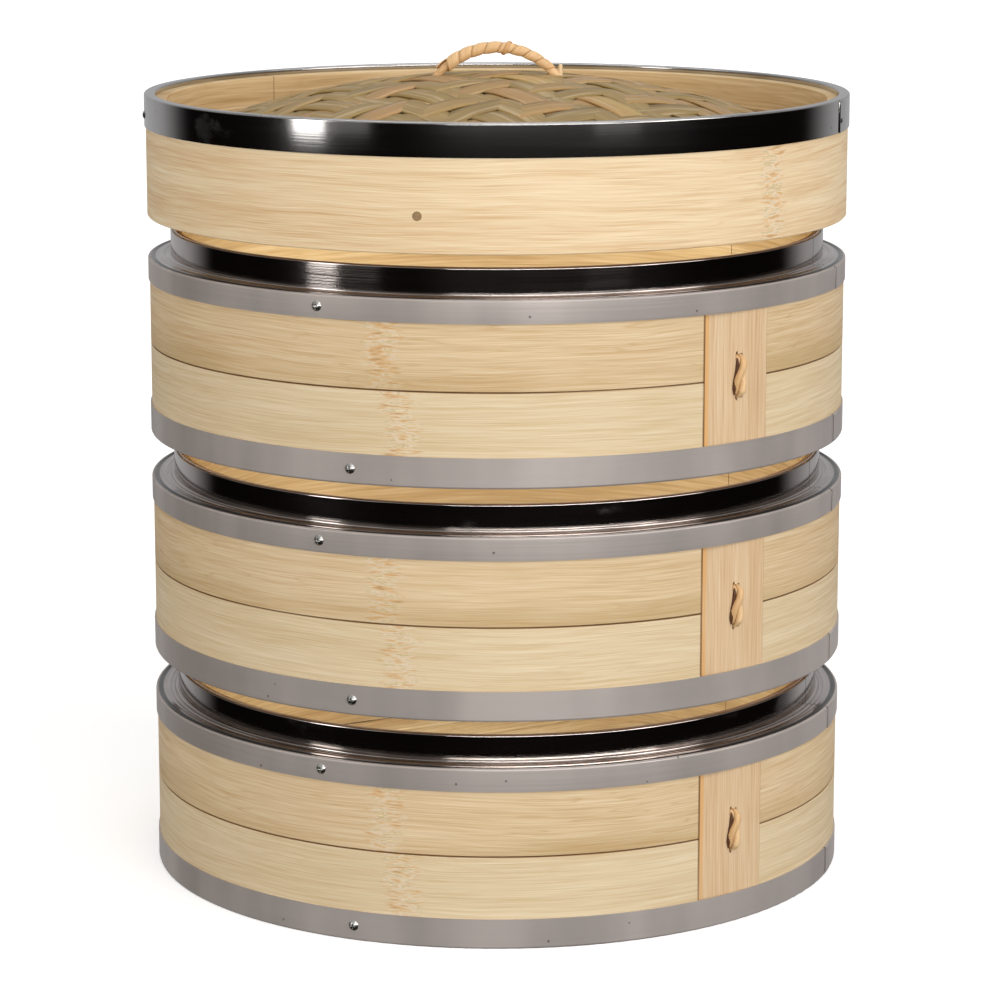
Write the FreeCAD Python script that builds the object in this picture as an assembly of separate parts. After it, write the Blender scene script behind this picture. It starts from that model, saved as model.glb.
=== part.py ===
"""Three-tier bamboo steamer basket with steel-capped rims and a woven domed lid.

Units are millimetres and +Z is up. The origin is the centre of the bottom tier's
foot. Angles go round the basket from the front (-Y), positive towards +X.

Each tier is a wall of bent bamboo hoops: two stacked outer boards over a backing
hoop, and an inner hoop that stands proud of the ledge as a collar. The next tier or
the lid drops over that collar. At rest the tiers hang apart, held open above each
other, and they slide down to seat on the ledges.
"""
import FreeCAD, Part
import math
import os

from FreeCAD import Placement, Rotation, Vector

# ---- Driving dimensions -----------------------------------------------------------
OUTER_R = 127.0          # steel bands of a tier: a 10 inch basket
SHEET = 0.5              # thickness of the steel sheet
TIER_HEIGHT = 64.0       # foot to ledge
COLLAR_RISE = 9.8        # collar top above the ledge
COLLAR_R = 118.8         # outside of the steel on the collar
TIER_GAP = 16.5          # ledge to the foot of the next tier, at rest
LID_GAP = 15.0           # top ledge to the foot of the lid, at rest
TIER_NAMES = ("bottom_tier", "middle_tier", "top_tier")

# Tier wall, from outside to inside
BOARD_R = OUTER_R - SHEET    # outside of the bamboo boards
BACKING_R = 123.9            # where the boards meet the backing hoop
NEST_R = 119.3               # inside of the backing hoop at the foot, over a collar
INNER_PARTS_R = 119.2        # outside of the inner hoop, the floor and its ring
WALL_R = 114.8               # inside of the steaming space
NEST_DEPTH = 11.0            # foot to the lowest inner part
UPPER_BAND = 8.1             # height of the band under the ledge
LOWER_BAND = 10.6            # height of the band round the foot
FOOT_FLANGE = 4.5            # how far the lower band turns in under the foot
BOARD_SEAM = 32.7            # height of the joint between the two outer boards
EDGE = 0.35                  # eased edge on bamboo
JOINT_GAP = 0.4              # open joint where a hoop's ends meet
SEAT_GAP = 0.1               # half of the joint between the two outer boards

# Vertical filler strip that closes the joint of the outer boards
STRIP_FROM, STRIP_TO = 34.1, 47.2    # degrees
STRIP_SINK = 0.9                     # how far its left edge lies below the boards
STRIP_SHADOW = 0.35                  # degrees of open joint at its left edge
INNER_JOINT_ANGLE = 128.0
STITCH_ANGLE = 41.0
STITCH_TOP, STITCH_FOOT = 41.0, 26.0
CANE_R = 1.05

# Steelwork joints and fasteners
SEAM_ANGLE = 71.0
SEAM_LAP = 3.2                       # degrees
SEAM_SLIT = 0.14                     # degrees
UPPER_SCREW_ANGLE, LOWER_SCREW_ANGLE = -28.5, -23.0
SCREWS_PER_BAND = 3
SCREW_HEAD_R, SCREW_HEAD_RISE = 1.85, 0.95
SCREW_SHANK_R, SCREW_SHANK = 0.85, 2.4

# Floor
SLAT_COUNT, SLAT_WIDTH, SLAT_PITCH, SLAT_THICK = 11, 17.6, 21.0, 3.5
SLAT_ANGLE = 30.0                    # direction that the slats run in, from +X
FLOOR_RING_RISE = 6.0
BATTEN_OFFSET, BATTEN_WIDTH, BATTEN_THICK = 52.0, 16.0, 4.0
PIN_R = 1.3

# Lid
LID_HEIGHT = 43.8
LID_BAND_R = 127.5
LID_BAND = 11.6
LID_HEM = 2.0
LID_MID_R = 123.9                    # where the lid's two hoops meet
LID_WALL_R = 119.4
LID_OUTER_JOINT, LID_INNER_JOINT = 170.0, -134.0     # degrees
RIVET_ANGLES = (-146.0, -117.0, -82.0, 72.0, 127.0, 155.0)
RIVET_R, RIVET_RISE, RIVET_SHANK_R = 1.6, 0.7, 0.8
LID_PEG_ANGLES = (-132.0, -12.0, 108.0)
LID_PEG_Z, LID_PEG_R = 12.7, 1.6
DOME_APEX, DOME_EDGE = 49.8, 26.6    # heights above the lid's foot
WEAVE = 1.6                          # thickness of each woven layer
DOME_RING_R = 115.2
CLAMP_RISE = 4.0

# Handle
HANDLE_HALF_SPAN = 21.5
HANDLE_AXIS_TOP = 59.1
HANDLE_CORE_R, HANDLE_R = 1.4, 2.2
HANDLE_ROOT = 6.6                    # how far the core goes on below the dome
TOGGLE_R, TOGGLE_LENGTH = 1.7, 15.0

UP = Vector(0, 0, 1)
ORIGIN = Vector(0, 0, 0)


# ---- Helpers ----------------------------------------------------------------------
def save(name, shape):
    """Writes one sub-part, checked to be sound."""
    if not shape.isValid() or shape.Volume <= 0:
        raise ValueError(f"{name} is not a sound solid")
    shape.exportStep(f"parts/{name}.step")
    box = shape.BoundBox
    print(f"{name:34s} {len(shape.Solids):3d} solids  {shape.Volume / 1000:8.2f} cm3"
          f"  z {box.ZMin:7.2f} to {box.ZMax:7.2f}")


def turned(shape, angle):
    """Turns a shape that points along +X so that it faces the given angle."""
    copy = shape.copy()
    copy.rotate(ORIGIN, UP, angle - 90)
    return copy


def section(points):
    """A flat face in the XZ plane. A point is (r, z), or (r, z, 'arc') for a point
    that an arc passes through on its way to the next one."""
    at = [Vector(p[0], 0, p[1]) for p in points] + [Vector(points[0][0], 0, points[0][1])]
    edges, i = [], 0
    while i < len(points):
        if i + 1 < len(points) and len(points[i + 1]) == 3:
            edges.append(Part.Arc(at[i], at[i + 1], at[i + 2]).toShape())
            i += 2
        else:
            edges.append(Part.makeLine(at[i], at[i + 1]))
            i += 1
    return Part.Face(Part.Wire(edges))


def hoop(points, start=0.0, sweep=360.0):
    """A section turned about the basket's axis."""
    return turned(section(points).revolve(ORIGIN, UP, sweep), start)


def board(inner, outer, low, high, start=0.0, sweep=360.0, eased=EDGE):
    """A bent bamboo board with eased outer edges."""
    return hoop(((inner, low), (outer - eased, low), (outer, low + eased),
                 (outer, high - eased), (outer - eased, high), (inner, high)), start, sweep)


def butt_jointed(inner, outer, low, high, joint, eased=EDGE):
    """A hoop of one board whose ends meet with a hairline joint at an angle."""
    gap = math.degrees(JOINT_GAP / outer)
    return board(inner, outer, low, high, joint + gap / 2, 360 - gap, eased)


def rolled_sheet(outline):
    """Thin steel sheet with the given section, closed round the basket to a slit."""
    sheet = section(outline).revolve(ORIGIN, UP, 360 - SEAM_SLIT)
    return turned(sheet, SEAM_ANGLE + SEAM_SLIT)


def seam_lap(radius, low, high):
    """The end of a band, which laps over its start at the seam."""
    return hoop(((radius, low), (radius + 0.35, low + 0.3), (radius + 0.35, high - 0.3),
                 (radius, high)), SEAM_ANGLE - 0.2, SEAM_LAP)


def rod(radius, inside, outside, z, angle):
    """A round rod that points straight out from the axis."""
    return turned(Part.makeCylinder(radius, outside - inside, Vector(inside, 0, z),
                                    Vector(1, 0, 0)), angle)


def domed_head(radius, rise, face, z, angle):
    """The rounded head of a screw or rivet on a face at the given radius."""
    ball = (radius ** 2 + rise ** 2) / (2 * rise)
    head = Part.makeSphere(ball, Vector(face + rise - ball, 0, z))
    keep = Part.makeCylinder(radius, rise, Vector(face, 0, z), Vector(1, 0, 0))
    return turned(head.common(keep), angle)


def round_the_band(first, count):
    return [first + 360 * i / count for i in range(count)]


def lifted(shape, height):
    copy = shape.copy()
    copy.translate(Vector(0, 0, height))
    return copy


# ---- Tier: bamboo wall ------------------------------------------------------------
STRIP_SWEEP = STRIP_TO - STRIP_FROM
BOARD_SWEEP = 360 - STRIP_SWEEP - STRIP_SHADOW
BOARD_TOP = TIER_HEIGHT - SHEET
RING_TOP = NEST_DEPTH + FLOOR_RING_RISE
FLOOR_TOP = RING_TOP + SLAT_THICK


def upper_board():
    return board(BACKING_R, BOARD_R, BOARD_SEAM + SEAT_GAP, BOARD_TOP, STRIP_TO, BOARD_SWEEP)


def lower_board():
    return board(BACKING_R, BOARD_R, SHEET, BOARD_SEAM - SEAT_GAP, STRIP_TO, BOARD_SWEEP)


def backing_hoop():
    """One wide hoop inside the two boards, closed behind the filler strip. It is eased
    at the foot, below the inner parts, so that it goes over a collar."""
    middle = (STRIP_FROM + STRIP_TO) / 2
    gap = math.degrees(JOINT_GAP / BACKING_R)
    return hoop(((NEST_R, SHEET), (BACKING_R, SHEET), (BACKING_R, BOARD_TOP),
                 (INNER_PARTS_R, BOARD_TOP), (INNER_PARTS_R, NEST_DEPTH),
                 (NEST_R, NEST_DEPTH)), middle + gap / 2, 360 - gap)


def inner_hoop():
    """The inner hoop pins the floor down, and its top carries the steel collar."""
    shoulder = BOARD_TOP
    collar_wood = COLLAR_R - SHEET
    top = TIER_HEIGHT + COLLAR_RISE - SHEET
    ring = hoop(((WALL_R, FLOOR_TOP), (INNER_PARTS_R, FLOOR_TOP), (INNER_PARTS_R, shoulder),
                 (collar_wood, shoulder), (collar_wood, top), (WALL_R + EDGE, top),
                 (WALL_R, top - EDGE)))
    joint = Part.makeBox(10, JOINT_GAP, 2 * TIER_HEIGHT, Vector(WALL_R - 2, -JOINT_GAP / 2, 0))
    return ring.cut(turned(joint, INNER_JOINT_ANGLE))


def filler_strip():
    """A short upright board in the joint. It lies flush at its right edge and a little
    below the boards at its left edge."""
    def at(radius, degrees):
        a = math.radians(degrees)
        return Vector(radius * math.sin(a), -radius * math.cos(a), SHEET)

    middle = (STRIP_FROM + STRIP_TO) / 2
    left, right = at(BOARD_R - STRIP_SINK, STRIP_FROM), at(BOARD_R, STRIP_TO - 0.05)
    inner_right, inner_left = at(BACKING_R, STRIP_TO - 0.05), at(BACKING_R, STRIP_FROM)
    outer_mid, inner_mid = at(BOARD_R - STRIP_SINK / 2, middle), at(BACKING_R, middle)
    edges = [Part.Arc(left, outer_mid, right).toShape(),
             Part.makeLine(right, inner_right),
             Part.Arc(inner_right, inner_mid, inner_left).toShape(),
             Part.makeLine(inner_left, left)]
    return Part.Face(Part.Wire(edges)).extrude(Vector(0, 0, BOARD_TOP - SHEET))


def rattan_stitch():
    """A strand of split rattan laced twice through two holes in the filler strip."""
    surface = BOARD_R - STRIP_SINK / 2
    middle = (STITCH_TOP + STITCH_FOOT) / 2
    strands = []
    for side in (-1, 1):
        top = Vector(surface - 0.2, side * 0.55, STITCH_TOP)
        foot = Vector(surface - 0.2, side * 0.55, STITCH_FOOT)
        crown = Vector(surface + 1.5, side * 1.15, middle)
        arc = Part.Arc(top, crown, foot)
        start = Part.makeCircle(CANE_R, top, arc.tangent(arc.FirstParameter)[0])
        strand = Part.Wire(arc.toShape()).makePipeShell([Part.Wire(start)], True, True)
        legs = [Part.makeCylinder(CANE_R, surface - BACKING_R, Vector(BACKING_R, end.y, end.z),
                                  Vector(1, 0, 0)) for end in (top, foot)]
        strands += [strand] + legs
    return turned(strands[0].fuse(strands[1:]), STITCH_ANGLE)


# ---- Tier: steel ------------------------------------------------------------------
def top_cap():
    """One rolled sheet: the band, its rolled edge and groove, the ledge with two
    beads, and the upright collar with its top turned in."""
    ledge, top = TIER_HEIGHT, TIER_HEIGHT + COLLAR_RISE
    low = ledge - UPPER_BAND
    cap = rolled_sheet((
        (OUTER_R, low), (OUTER_R, ledge - 0.8),
        (OUTER_R - 0.234, ledge - 0.234, "arc"), (OUTER_R - 0.8, ledge),
        (OUTER_R - 1.6, ledge - 0.38, "arc"), (OUTER_R - 2.4, ledge),
        (OUTER_R - 4.6, ledge),
        (OUTER_R - 5.3, ledge + 0.55, "arc"), (OUTER_R - 6.0, ledge),
        (OUTER_R - 6.6, ledge + 0.5, "arc"), (OUTER_R - 7.2, ledge),
        (COLLAR_R + 0.28, ledge + 0.28, "arc"), (COLLAR_R, ledge + 1.0),
        (COLLAR_R, top - 0.7),
        (COLLAR_R - 0.205, top - 0.205, "arc"), (COLLAR_R - 0.7, top),
        (COLLAR_R - 1.5, top), (COLLAR_R - 1.5, top - SHEET),
        (COLLAR_R - SHEET, top - SHEET), (COLLAR_R - SHEET, ledge - SHEET),
        (OUTER_R - SHEET, ledge - SHEET), (OUTER_R - SHEET, low)))
    return cap.fuse(seam_lap(OUTER_R, low, ledge - 1.0))


def bottom_band():
    """A band round the foot that turns in under it."""
    inside = OUTER_R - SHEET
    band = rolled_sheet((
        (OUTER_R, LOWER_BAND), (OUTER_R, 0.7), (OUTER_R - 0.205, 0.205, "arc"),
        (OUTER_R - 0.7, 0), (OUTER_R - FOOT_FLANGE, 0), (OUTER_R - FOOT_FLANGE, SHEET),
        (inside, SHEET), (inside, LOWER_BAND)))
    return band.fuse(seam_lap(OUTER_R, 0.8, LOWER_BAND))


def screw_places():
    upper = TIER_HEIGHT - UPPER_BAND / 2
    lower = LOWER_BAND / 2
    return ([(a, upper) for a in round_the_band(UPPER_SCREW_ANGLE, SCREWS_PER_BAND)]
            + [(a, lower) for a in round_the_band(LOWER_SCREW_ANGLE, SCREWS_PER_BAND)])


def screw(angle, z):
    """A small pan-head screw with a cross recess."""
    head = domed_head(SCREW_HEAD_R, SCREW_HEAD_RISE, OUTER_R, z, angle)
    face = OUTER_R + SCREW_HEAD_RISE
    for wide, tall in ((0.42, 2.0), (2.0, 0.42)):
        slot = Part.makeBox(1.0, wide, tall, Vector(face - 0.5, -wide / 2, z - tall / 2))
        head = head.cut(turned(slot, angle))
    return head.fuse(rod(SCREW_SHANK_R, OUTER_R - SCREW_SHANK, OUTER_R, z, angle))


def drilled(shape):
    """The shape with a hole for each screw's shank."""
    for angle, z in screw_places():
        shape = shape.cut(rod(SCREW_SHANK_R, OUTER_R - SCREW_SHANK, OUTER_R + 1, z, angle))
    return shape


# ---- Tier: floor ------------------------------------------------------------------
def along_the_slats(shape):
    copy = shape.copy()
    copy.rotate(ORIGIN, UP, SLAT_ANGLE)
    return copy


def slat_offsets():
    middle = (SLAT_COUNT - 1) / 2
    return [(i - middle) * SLAT_PITCH for i in range(SLAT_COUNT)]


def floor_disc(low, high):
    return Part.makeCylinder(INNER_PARTS_R, high - low, Vector(0, 0, low))


def battens():
    """Two bars under the slats, let into the floor ring."""
    disc = floor_disc(RING_TOP - BATTEN_THICK, RING_TOP)
    bars = []
    for side in (-1, 1):
        corner = Vector(side * BATTEN_OFFSET - BATTEN_WIDTH / 2, -OUTER_R, RING_TOP - BATTEN_THICK)
        bar = Part.makeBox(BATTEN_WIDTH, 2 * OUTER_R, BATTEN_THICK, corner)
        bars.append(along_the_slats(bar).common(disc))
    return bars


def floor_pins():
    """Bamboo pins through every crossing of a slat and a batten."""
    pins = []
    for side in (-1, 1):
        for offset in slat_offsets():
            foot = Vector(side * BATTEN_OFFSET, offset, RING_TOP - BATTEN_THICK)
            pins.append(along_the_slats(
                Part.makeCylinder(PIN_R, FLOOR_TOP - foot.z, foot)))
    return pins


def floor_slats():
    disc = floor_disc(RING_TOP, FLOOR_TOP)
    slats = []
    for offset in slat_offsets():
        corner = Vector(-OUTER_R, offset - SLAT_WIDTH / 2, RING_TOP)
        slat = Part.makeBox(2 * OUTER_R, SLAT_WIDTH, SLAT_THICK, corner)
        along = [e for e in slat.Edges if abs(e.Length - 2 * OUTER_R) < 0.01
                 and e.BoundBox.ZMin > RING_TOP]
        slats.append(along_the_slats(slat.makeChamfer(0.5, along)).common(disc))
    return slats


def floor_ring():
    """The ring under the ends of the slats, notched for the battens."""
    return board(WALL_R + 0.3, INNER_PARTS_R, NEST_DEPTH, RING_TOP)


def tier(name, foot):
    """All the nodes of one tier, with its foot at the given height."""
    stitch, pins, bars = rattan_stitch(), floor_pins(), battens()
    pieces = {
        "upper_board": drilled(upper_board()),
        "lower_board": drilled(lower_board()),
        "backing_hoop": backing_hoop(),
        "inner_hoop": inner_hoop(),
        "filler_strip": filler_strip().cut(stitch),
        "rattan_stitch": stitch,
        "top_cap": drilled(top_cap()),
        "bottom_band": drilled(bottom_band()),
        "band_screws": Part.makeCompound([screw(a, z) for a, z in screw_places()]),
        "floor_slats": Part.makeCompound([slat.cut(pins) for slat in floor_slats()]),
        "floor_battens": Part.makeCompound([bar.cut(pins) for bar in bars]),
        "floor_pins": Part.makeCompound(pins),
        "floor_ring": floor_ring().cut(bars),
    }
    for piece, shape in pieces.items():
        save(f"{name}_{piece}", lifted(shape, foot))


# ---- Lid --------------------------------------------------------------------------
DOME_R = (LID_WALL_R ** 2 + (DOME_APEX - DOME_EDGE) ** 2) / (2 * (DOME_APEX - DOME_EDGE))
DOME_CENTRE = DOME_APEX - DOME_R


def dome_height(radius, depth):
    """Height of the dome at a radius, at a depth below its top face."""
    return DOME_CENTRE + math.sqrt((DOME_R - depth) ** 2 - radius ** 2)


def dome_layer(top, bottom):
    """A woven layer of the dome, between two depths below the top face."""
    outer, half = LID_WALL_R - 0.1, LID_WALL_R / 2
    points = [Vector(0, 0, dome_height(0, top)), Vector(half, 0, dome_height(half, top)),
              Vector(outer, 0, dome_height(outer, top)),
              Vector(outer, 0, dome_height(outer, bottom)),
              Vector(half, 0, dome_height(half, bottom)),
              Vector(0, 0, dome_height(0, bottom))]
    edges = [Part.Arc(*points[:3]).toShape(), Part.makeLine(points[2], points[3]),
             Part.Arc(*points[3:]).toShape(), Part.makeLine(points[5], points[0])]
    return Part.Face(Part.Wire(edges)).revolve(ORIGIN, UP, 360)


def under_dome_ring():
    """The ring that the dome's edge lies on."""
    outer, inner = LID_WALL_R - 0.1, DOME_RING_R
    mid = (outer + inner) / 2
    depth = 2 * WEAVE
    return hoop(((inner, NEST_DEPTH), (outer, NEST_DEPTH), (outer, dome_height(outer, depth)),
                 (mid, dome_height(mid, depth), "arc"), (inner, dome_height(inner, depth))))


def over_dome_ring():
    """The ring that holds the dome's edge down."""
    outer, inner = LID_WALL_R - 0.1, DOME_RING_R + 1.4
    mid = (outer + inner) / 2
    top = dome_height(inner, 0) + CLAMP_RISE
    return hoop(((inner, top - 0.5), (inner, dome_height(inner, 0)),
                 (mid, dome_height(mid, 0), "arc"), (outer, dome_height(outer, 0)),
                 (outer, top), (inner + 0.5, top)))


def lid_band():
    """A polished band that folds over the rim and down inside it."""
    low, top, inside = LID_HEIGHT - LID_BAND, LID_HEIGHT, LID_MID_R - SHEET
    return rolled_sheet((
        (LID_BAND_R, low), (LID_BAND_R, top - 0.7),
        (LID_BAND_R - 0.205, top - 0.205, "arc"), (LID_BAND_R - 0.7, top),
        (inside + 0.7, top), (inside + 0.205, top - 0.205, "arc"), (inside, top - 0.7),
        (inside, top - LID_HEM), (LID_MID_R, top - LID_HEM), (LID_MID_R, top - SHEET),
        (LID_BAND_R - SHEET, top - SHEET), (LID_BAND_R - SHEET, low)))


def lid_outer_hoop():
    return butt_jointed(LID_MID_R, LID_BAND_R - SHEET, 0, LID_HEIGHT - SHEET,
                        LID_OUTER_JOINT)


def lid_inner_hoop():
    gap = math.degrees(JOINT_GAP / LID_WALL_R)
    top = LID_HEIGHT - LID_HEM
    return hoop(((LID_WALL_R, 0), (LID_MID_R, 0), (LID_MID_R, top), (LID_WALL_R + EDGE, top),
                 (LID_WALL_R, top - EDGE)), LID_INNER_JOINT + gap / 2, 360 - gap)


def rivet_z():
    return LID_HEIGHT - LID_BAND + 4.2


def rivet(angle):
    head = domed_head(RIVET_R, RIVET_RISE, LID_BAND_R, rivet_z(), angle)
    return head.fuse(rod(RIVET_SHANK_R, LID_MID_R + 0.6, LID_BAND_R, rivet_z(), angle))


def lid_peg(angle):
    """A bamboo peg through the hoops into the ring under the dome."""
    return rod(LID_PEG_R, DOME_RING_R + 1, LID_BAND_R - SHEET + 0.1, LID_PEG_Z, angle)


# ---- Handle -----------------------------------------------------------------------
HANDLE_RISE = HANDLE_AXIS_TOP - dome_height(HANDLE_HALF_SPAN, 0)
HANDLE_ARCH_R = (HANDLE_HALF_SPAN ** 2 + HANDLE_RISE ** 2) / (2 * HANDLE_RISE)
HANDLE_CENTRE = HANDLE_AXIS_TOP - HANDLE_ARCH_R
HANDLE_REACH = math.degrees(math.asin(HANDLE_HALF_SPAN / HANDLE_ARCH_R))


def arch(radius, reach, hollow=0.0):
    """Part of a torus in the XZ plane, so many degrees each side of its top."""
    start = Vector(0, 0, HANDLE_AXIS_TOP)
    centre = Vector(0, 0, HANDLE_CENTRE)
    disc = Part.Face(Part.Wire(Part.makeCircle(radius, start, Vector(1, 0, 0))))
    if hollow:
        disc = disc.cut(Part.Face(Part.Wire(Part.makeCircle(hollow, start, Vector(1, 0, 0)))))
    disc.rotate(centre, Vector(0, 1, 0), -reach)
    return disc.revolve(centre, Vector(0, 1, 0), 2 * reach)


def handle_core():
    beyond = math.degrees(HANDLE_ROOT / HANDLE_ARCH_R)
    return arch(HANDLE_CORE_R, HANDLE_REACH + beyond)


def handle_wrap():
    """Split rattan wound round the core from one foot to the other."""
    return arch(HANDLE_R, HANDLE_REACH - 3.0, HANDLE_CORE_R)


def toggle(side):
    """A short bamboo toggle under the dome that the core's end passes through."""
    z = dome_height(HANDLE_HALF_SPAN + 3, 2 * WEAVE) - TOGGLE_R - 0.3
    across = math.sqrt(HANDLE_ARCH_R ** 2 - (z - HANDLE_CENTRE) ** 2)
    return Part.makeCylinder(TOGGLE_R, TOGGLE_LENGTH,
                             Vector(side * across, -TOGGLE_LENGTH / 2, z), Vector(0, 1, 0))


def lid(foot):
    """All the nodes of the lid, with its foot at the given height."""
    rivets = [rivet(a) for a in RIVET_ANGLES]
    pegs = [lid_peg(a) for a in LID_PEG_ANGLES]
    core = handle_core()
    pieces = {
        "outer_hoop": lid_outer_hoop().cut(rivets + pegs),
        "inner_hoop": lid_inner_hoop().cut(pegs),
        "steel_band": lid_band().cut(rivets),
        "band_rivets": Part.makeCompound(rivets),
        "hoop_pegs": Part.makeCompound(pegs),
        "dome_outer_weave": dome_layer(0, WEAVE).cut(core),
        "dome_inner_weave": dome_layer(WEAVE, 2 * WEAVE).cut(core),
        "dome_support_ring": under_dome_ring().cut(pegs),
        "dome_clamp_ring": over_dome_ring(),
        "handle_core": core,
        "handle_wrap": handle_wrap().cut(dome_layer(0, WEAVE)),
        "handle_toggles": Part.makeCompound([toggle(s).cut(core) for s in (-1, 1)]),
    }
    for piece, shape in pieces.items():
        save(f"lid_{piece}", lifted(shape, foot))


def main():
    os.makedirs("parts", exist_ok=True)
    pitch = TIER_HEIGHT + TIER_GAP
    for level, name in enumerate(TIER_NAMES):
        tier(name, level * pitch)
    lid((len(TIER_NAMES) - 1) * pitch + TIER_HEIGHT + LID_GAP)


main()
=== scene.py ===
# %% [markdown]
# # A three-tier bamboo steamer with steel rims
#
# The basket is three round tiers and a lid. Each tier is a wall of bent bamboo
# boards, bound at the foot and the rim with sheet steel. The lid carries a dome
# that is woven from split bamboo, with a cane handle. The CAD frame already holds
# every board, ring, band and screw at its real size. This lesson gives them their
# finishes, and makes the pieces that only mesh work can show: the rolled edges of the
# steel, the woven splints, the cane wrapping of the handle and each tier's stitch.

# %% Load the frame
import math
import random

import bmesh
import bpy
from mathutils import Matrix, Vector


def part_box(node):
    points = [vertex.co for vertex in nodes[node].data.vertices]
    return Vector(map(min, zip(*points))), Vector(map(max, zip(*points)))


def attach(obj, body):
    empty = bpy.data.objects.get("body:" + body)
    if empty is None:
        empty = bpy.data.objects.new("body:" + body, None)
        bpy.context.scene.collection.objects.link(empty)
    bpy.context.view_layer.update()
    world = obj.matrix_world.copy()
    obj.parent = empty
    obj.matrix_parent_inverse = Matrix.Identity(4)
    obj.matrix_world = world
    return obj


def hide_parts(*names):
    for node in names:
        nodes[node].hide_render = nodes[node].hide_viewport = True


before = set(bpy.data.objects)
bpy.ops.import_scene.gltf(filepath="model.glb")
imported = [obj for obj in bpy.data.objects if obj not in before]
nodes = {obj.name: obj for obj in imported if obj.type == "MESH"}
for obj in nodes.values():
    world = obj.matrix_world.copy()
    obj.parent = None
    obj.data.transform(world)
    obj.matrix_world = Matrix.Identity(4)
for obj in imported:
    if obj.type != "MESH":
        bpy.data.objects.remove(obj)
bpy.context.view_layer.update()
TIERS = ("bottom_tier", "middle_tier", "top_tier")
print("pieces in the frame:", len(nodes))

# %% [markdown]
# ## Camera
#
# The basket is seen from a little above its lid, from some way off, as a product is
# when its uprights have to stay nearly parallel. A long lens at 1.3 m does that: a
# short one close up would splay the tiers. The tilt is one angle, and a small
# sideways shift centres the picture without turning the camera.

# %% Camera
CAMERA_DISTANCE = 1.32
CAMERA_HEIGHT = 0.397
CAMERA_TILT = 11.35
LENS = 130.7
SIDE_SHIFT = 0.0032
camera_data = bpy.data.cameras.new("camera")
camera_data.lens = LENS
camera_data.shift_x = SIDE_SHIFT
camera = bpy.data.objects.new("camera", camera_data)
bpy.context.scene.collection.objects.link(camera)
camera.location = (0, -CAMERA_DISTANCE, CAMERA_HEIGHT)
camera.rotation_euler = (math.radians(90 - CAMERA_TILT), 0, 0)
bpy.context.scene.camera = camera
bpy.context.scene.view_settings.view_transform = "Standard"
print("camera looks down", CAMERA_TILT, "degrees")

# %% [markdown]
# ## Wiring shader nodes
#
# A finish is a tree of shader nodes. Written out by hand, every node takes four or
# five lines, which hides what the finish does. These small helpers add one node,
# plug in what feeds it, and give back its output, so that a finish reads as a list
# of steps from the surface's coordinates to its colour.

# %% Helpers for shader nodes
def add(tree, kind, inputs=None, out=0, **settings):
    """One shader node, with its inputs as numbers or as outputs of other nodes."""
    node = tree.nodes.new("ShaderNode" + kind)
    for key, value in settings.items():
        setattr(node, key, value)
    for key, value in (inputs or {}).items():
        if isinstance(value, bpy.types.NodeSocket):
            tree.links.new(value, node.inputs[key])
        else:
            node.inputs[key].default_value = value
    return node.outputs[out]


def maths(tree, operation, first, second=0.0, third=0.0):
    """A sum, product or other operation on numbers."""
    return add(tree, "Math", {0: first, 1: second, 2: third}, operation=operation)


def vector(tree, operation, first, second, out=0):
    """An operation on two vectors. A dot product comes out of output 1."""
    return add(tree, "VectorMath", {0: first, 1: second}, out, operation=operation)


def noise(tree, place, scale=1.0, detail=2.0, roughness=0.5):
    """Soft noise from 0 to 1 at a place that is already stretched."""
    inputs = {"Vector": place, "Scale": scale, "Detail": detail, "Roughness": roughness}
    return add(tree, "TexNoise", inputs)


def ramp(tree, value, stops, interpolation="LINEAR"):
    """Colours along a value: stops are (position, (red, green, blue)) or (position, grey)."""
    node = tree.nodes.new("ShaderNodeValToRGB")
    node.color_ramp.interpolation = interpolation
    band = node.color_ramp.elements
    while len(band) < len(stops):
        band.new(1.0)
    for element, (position, colour) in zip(band, stops):
        element.position = position
        element.color = (*(colour if isinstance(colour, tuple) else (colour,) * 3), 1)
    tree.links.new(value, node.inputs[0])
    return node.outputs[0]


def between(tree, value, low, high, to_low=0.0, to_high=1.0):
    """A smooth step of a value from low to high."""
    inputs = {"Value": value, 1: low, 2: high, 3: to_low, 4: to_high}
    return add(tree, "MapRange", inputs, interpolation_type="SMOOTHSTEP")


def mix(tree, amount, first, second, blend="MIX"):
    """Two colours mixed by an amount."""
    inputs = {0: amount, 6: first, 7: second}
    return add(tree, "Mix", inputs, 2, data_type="RGBA", blend_type=blend)


def finish(name, build):
    """A material whose function `build` returns the shader's inputs for its tree."""
    material = bpy.data.materials.new(name)
    material.use_nodes = True
    tree = material.node_tree
    tree.nodes.clear()
    shader = add(tree, "BsdfPrincipled", build(tree))
    tree.links.new(shader, tree.nodes.new("ShaderNodeOutputMaterial").inputs[0])
    return material


def rgb(red, green, blue):
    """A colour given as it looks on a screen, 0 to 255, in the shader's linear light."""
    channels = (red / 255, green / 255, blue / 255)
    return tuple(c / 12.92 if c < 0.04 else ((c + 0.055) / 1.055) ** 2.4 for c in channels)


print("wood at mid tone:", [round(c, 3) for c in rgb(223, 191, 149)])

# %% [markdown]
# ## Studio
#
# Polished steel has no colour of its own: it shows the room. Here the room is a
# white sweep behind and above, and a dark space low in front of the basket, which
# is why the collars and the lid's band look nearly black while the wood is bright.
# The world gives that room as a gradient, plain white where the camera sees it
# directly. Bamboo is matt, and would lose the light that the dark space takes from the
# steel. So the world can ask what kind of ray it answers, and gives every matt surface
# the same even light from all sides.

# %% Room
AMBIENT = 0.7


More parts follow.
